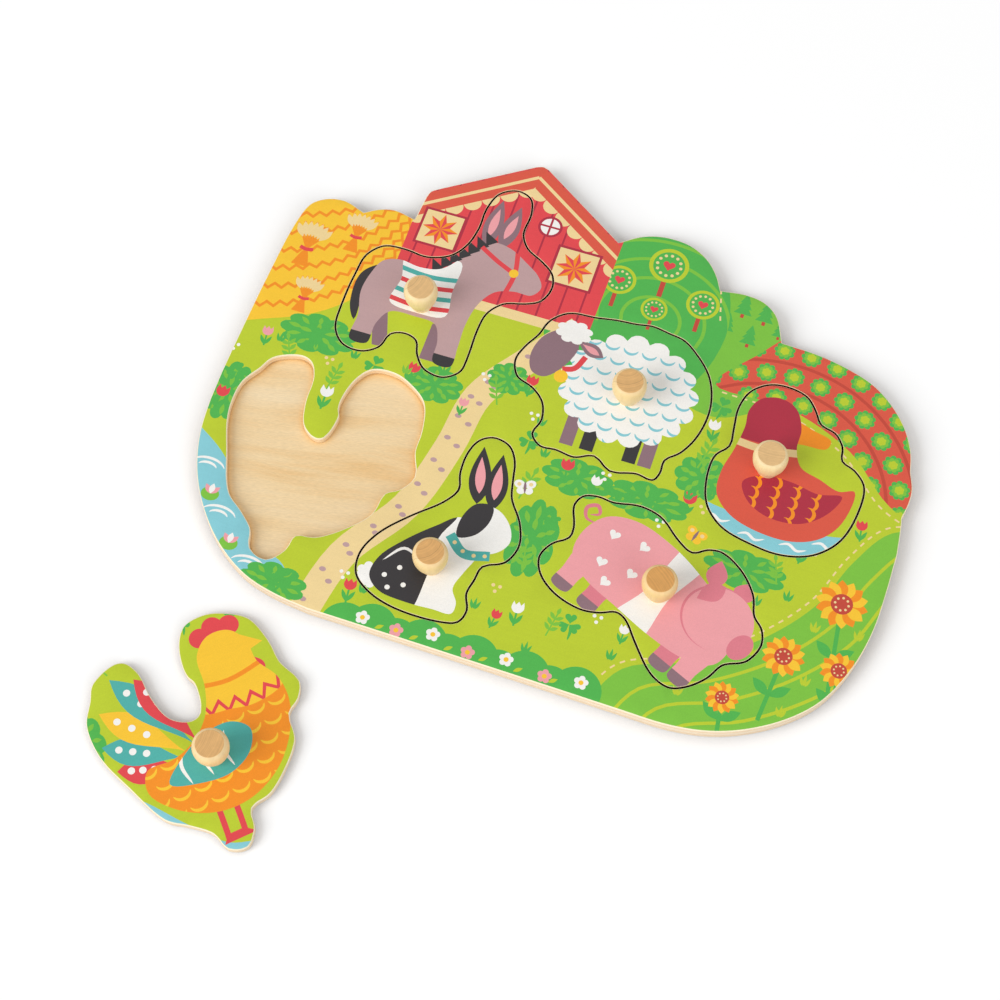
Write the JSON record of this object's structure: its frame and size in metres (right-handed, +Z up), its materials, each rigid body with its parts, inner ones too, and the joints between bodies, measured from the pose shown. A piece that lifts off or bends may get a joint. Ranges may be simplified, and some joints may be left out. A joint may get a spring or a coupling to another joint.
{
  "type": "knob puzzle",
  "caption": "Wooden knob puzzle: a shaped farm board of two glued panels with animal recesses, and printed animal pieces lifted by turned knobs.",
  "frame": {"origin": "middle of the board's length and width, on its underside", "axes": "+X along the board's long bottom edge, +Y towards the gable, +Z up out of the printed face"},
  "size_m": [0.301, 0.3453, 0.0208],
  "materials": {
    "bare_plywood": "bare sanded birch plywood with fine grain along the board and plies at the edge",
    "printed_plywood": "plywood with a printed farm pattern under a satin varnish, bare plies at the cut edges",
    "turned_wood": "turned pale hardwood, lightly lacquered, end grain on the flat top"
  },
  "bodies": {
    "board": {"backing_panel": "bare_plywood", "frame_panel": "printed_plywood"},
    "donkey": {"donkey_piece": "printed_plywood", "donkey_knob": "turned_wood"},
    "sheep": {"sheep_piece": "printed_plywood", "sheep_knob": "turned_wood"},
    "duck": {"duck_piece": "printed_plywood", "duck_knob": "turned_wood"},
    "rabbit": {"rabbit_piece": "printed_plywood", "rabbit_knob": "turned_wood"},
    "pig": {"pig_piece": "printed_plywood", "pig_knob": "turned_wood"},
    "rooster": {"rooster_piece": "printed_plywood", "rooster_knob": "turned_wood"}
  },
  "joints": [
    {"name": "donkey_lift", "type": "slide", "parent": "board", "child": "donkey", "axis": [0, 0, 1], "range_m": [0, 0.05]},
    {"name": "sheep_lift", "type": "slide", "parent": "board", "child": "sheep", "axis": [0, 0, 1], "range_m": [0, 0.05]},
    {"name": "duck_lift", "type": "slide", "parent": "board", "child": "duck", "axis": [0, 0, 1], "range_m": [0, 0.05]},
    {"name": "rabbit_lift", "type": "slide", "parent": "board", "child": "rabbit", "axis": [0, 0, 1], "range_m": [0, 0.05]},
    {"name": "pig_lift", "type": "slide", "parent": "board", "child": "pig", "axis": [0, 0, 1], "range_m": [0, 0.05]},
    {"name": "rooster_lift", "type": "slide", "parent": "board", "child": "rooster", "axis": [0, 0, 1], "range_m": [0, 0.05]}
  ]
}
